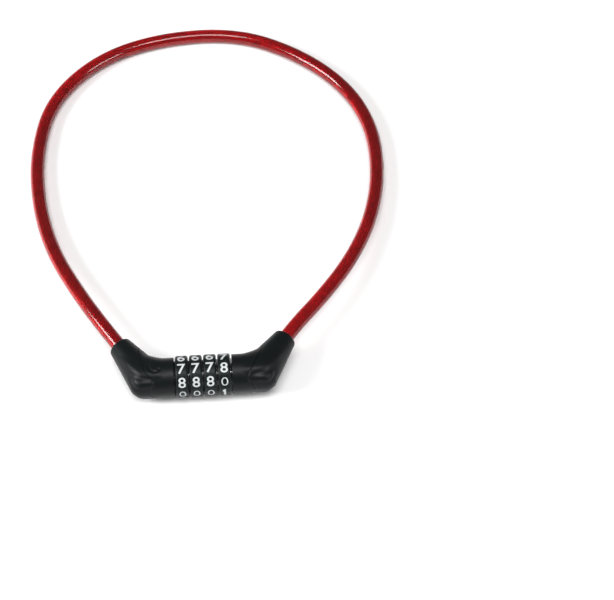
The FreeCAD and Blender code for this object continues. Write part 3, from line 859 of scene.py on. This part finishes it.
def drawn_digit(digit, weight):
    """A digit as a flat solid, from the built-in typeface or the one's outline."""
    bm = bmesh.new()
    if digit == 1:
        back = bm.faces.new([bm.verts.new((x, y, 0)) for x, y in DIGIT_ONE])
        for made in bmesh.ops.extrude_face_region(bm, geom=[back])["geom"]:
            if isinstance(made, bmesh.types.BMVert):
                made.co.z = 1
        return bm
    text = bpy.data.curves.new("digit", "FONT")
    text.body = str(digit)
    text.extrude = 0.02
    text.offset = weight
    text.resolution_u = 8
    holder = bpy.data.objects.new("digit", text)
    bpy.context.scene.collection.objects.link(holder)
    mesh = bpy.data.meshes.new_from_object(
        holder.evaluated_get(bpy.context.evaluated_depsgraph_get()))
    bpy.data.objects.remove(holder)
    bm.from_mesh(mesh)
    bpy.data.meshes.remove(mesh)
    bmesh.ops.remove_doubles(bm, verts=bm.verts, dist=1e-5)
    xs = [v.co.x for v in bm.verts]
    ys = [v.co.y for v in bm.verts]
    for vertex in bm.verts:
        vertex.co.x = (vertex.co.x - min(xs)) / (max(xs) - min(xs)) - 0.5
        vertex.co.y = (vertex.co.y - min(ys)) / (max(ys) - min(ys)) - 0.5
    return bm


def digit_mesh(digit, look):
    """A digit at its size, cut into strips so that it wraps round a dial."""
    wide, high, weight = DIGIT_FORMS.get(digit, OTHER_DIGITS)
    bm = drawn_digit(digit, weight)
    for vertex in bm.verts:
        vertex.co.x *= look.width * wide
        vertex.co.y *= look.height * high
    for step in range(1, DIGIT_STRIPS):
        level = (step / DIGIT_STRIPS - 0.5) * look.height * high
        bmesh.ops.bisect_plane(bm, geom=bm.verts[:] + bm.edges[:] + bm.faces[:],
                               plane_co=(0, level, 0), plane_no=(0, 1, 0))
    return bm


def make_numbers(look, place, start, name, material):
    """All the digits of one dial, wrapped round it and let in a little.  The panel
    at start holds the last digit, and the others follow from nought."""
    everything = bmesh.new()
    floor = DIAL_RADIUS - look.panel_depth
    for step in range(look.digits):
        bm = digit_mesh((step - 1) % look.digits, look)
        centre = start + step * math.tau / look.digits
        for vertex in bm.verts:
            turn = centre - vertex.co.y / DIAL_RADIUS
            radius = floor + (DIGIT_RISE if vertex.co.z > 0 else -DIGIT_ROOT)
            vertex.co = dial_point(place, vertex.co.x, turn, radius)
        piece = bpy.data.meshes.new("digit")
        bm.to_mesh(piece)
        bm.free()
        everything.from_mesh(piece)
        bpy.data.meshes.remove(piece)
    bmesh.ops.recalc_face_normals(everything, faces=everything.faces)
    mesh = bpy.data.meshes.new(name)
    everything.to_mesh(mesh)
    everything.free()
    return sharpen(link(name, mesh, material))


class LOCK_OT_dials(bpy.types.Operator):
    """Make the number dials and their digits"""
    bl_idname = "lock.dials"
    bl_label = "Dials"

    def execute(self, context):
        look = settings("dial")
        plastic = moulded_plastic("dial_plastic", tuple(look.plastic), 0.34, 0.00002)
        ink = digit_ink(tuple(look.ink))
        for number, place, eight in zip(DIALS, DIAL_PLACES, EIGHT_AT):
            start = math.radians(eight)
            dial = make_dial(look, place, start, "number_dial_%d" % number, plastic)
            digits = make_numbers(look, place, start, "dial_%d_numbers" % number, ink)
            for piece, slot in ((dial, "dial_black"), (digits, "dial_white")):
                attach(piece, "dial_body_%d" % number)
            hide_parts("dial_%d" % number)
        return {"FINISHED"}


# ---------------------------------------------------------------- inner parts

class LOCK_OT_works(bpy.types.Operator):
    """Finish the metal parts inside the head"""
    bl_idname = "lock.works"
    bl_label = "Inner parts"

    def execute(self, context):
        plated = turned_metal("plated_steel", (0.66, 0.67, 0.69), 0.20)
        ground = turned_metal("ground_steel", (0.52, 0.53, 0.55), 0.28)
        brass = turned_metal("turned_brass", (0.74, 0.54, 0.24), 0.26)
        casting = cast_metal("cast_zinc", (0.47, 0.48, 0.50))
        crimp = turned_metal("crimped_ferrule", (0.68, 0.69, 0.71), 0.30)
        acetal = moulded_plastic("washer_acetal", (0.006, 0.006, 0.0065), 0.5)
        by_slot = {"bright_steel": plated, "hardened_steel": ground, "brass": brass,
                   "zinc_casting": casting, "ferrule_metal": crimp,
                   "washer_black": acetal}
        for part in frame["record"]["subparts"]:
            finish = by_slot.get(part["material_slot"])
            if finish:
                node = frame["nodes"][part["node"]]
                for place in node.material_slots:
                    place.material = finish
        return {"FINISHED"}


# ---------------------------------------------------------------- stage

# Each soft box by its place, its width and height, and its power in watts.
LIGHTS = {
    "overhead_box": ((0.0, -0.35, 1.5), (1.0, 0.6), 17),
    "left_box": ((-1.2, -0.08, 0.75), (0.7, 0.6), 20),
    "right_box": ((1.2, -0.6, 0.8), (0.7, 0.6), 9),
}
LIGHTS_AIM = Vector((0.0, 0.1, 0.0))
ROOM_LIGHT = 0.20         # strength of the even light from all round
FLOOR_REACH = 6.0
FLOOR_DROP = 0.05 * MM    # keeps the floor clear of the pieces that lie on it
SENSOR_WIDTH = 36.0


def area_light(name, place, size, power):
    lamp = bpy.data.lights.new(name, "AREA")
    lamp.shape = "RECTANGLE"
    lamp.size, lamp.size_y = size
    lamp.energy = power
    light = bpy.data.objects.new(name, lamp)
    bpy.context.scene.collection.objects.link(light)
    light.location = place
    facing = LIGHTS_AIM - Vector(place)
    light.rotation_euler = facing.to_track_quat("-Z", "Y").to_euler()


class LOCK_OT_stage(bpy.types.Operator):
    """Make the floor, the soft light and the camera"""
    bl_idname = "lock.stage"
    bl_label = "Stage"

    def execute(self, context):
        look = settings("stage")
        data = bpy.data.cameras.new("camera")
        data.lens = look.lens
        data.sensor_width = SENSOR_WIDTH
        data.clip_start, data.clip_end = 0.01, 20.0
        camera = bpy.data.objects.new("camera", data)
        context.scene.collection.objects.link(camera)
        camera.location = look.camera
        camera.rotation_euler = Euler((look.tilt, 0.0, look.swing))
        context.scene.camera = camera

        mesh = bpy.data.meshes.new("floor")
        corners = [(x * FLOOR_REACH, y * FLOOR_REACH, 0)
                   for x, y in ((-1, -1), (1, -1), (1, 1), (-1, 1))]
        mesh.from_pydata(corners, [], [(0, 1, 2, 3)])
        floor = link("floor", mesh, floor_card(tuple(look.floor)))
        floor.location.z = -FLOOR_DROP

        world = bpy.data.worlds.new("soft_room")
        world.use_nodes = True
        background = world.node_tree.nodes["Background"]
        background.inputs["Color"].default_value = (1, 1, 1, 1)
        background.inputs["Strength"].default_value = ROOM_LIGHT
        context.scene.world = world
        context.scene.view_settings.view_transform = "Standard"
        for name, (place, size, power) in LIGHTS.items():
            area_light(name, place, size, power)
        return {"FINISHED"}


# ---------------------------------------------------------------- panel

OPERATORS = (LOCK_OT_stage, LOCK_OT_cable, LOCK_OT_elbows, LOCK_OT_dials, LOCK_OT_works)


class LOCK_PT_panel(bpy.types.Panel):
    """The lock's pieces and their settings"""
    bl_idname = "LOCK_PT_panel"
    bl_label = "Cable lock"
    bl_space_type = "VIEW_3D"
    bl_region_type = "UI"
    bl_category = "Cable lock"

    def draw(self, context):
        for operator in OPERATORS:
            self.layout.operator(operator.bl_idname)
        for group in SETTINGS:
            box = self.layout.box()
            box.label(text=group.capitalize())
            holder = settings(group)
            for name in holder.__annotations__:
                box.prop(holder, name)


CLASSES = (*SETTINGS.values(), *OPERATORS, LOCK_PT_panel)


def register():
    for made in CLASSES:
        bpy.utils.register_class(made)
    for group, kind in SETTINGS.items():
        setattr(bpy.types.Scene, "lock_" + group, PointerProperty(type=kind))


def unregister():
    for group in SETTINGS:
        delattr(bpy.types.Scene, "lock_" + group)
    for made in reversed(CLASSES):
        bpy.utils.unregister_class(made)


def main():
    register()
    bpy.ops.lock.stage()
    bpy.ops.lock.cable()
    bpy.ops.lock.elbows()
    bpy.ops.lock.dials()
    bpy.ops.lock.works()


if __name__ == "__main__":
    main()
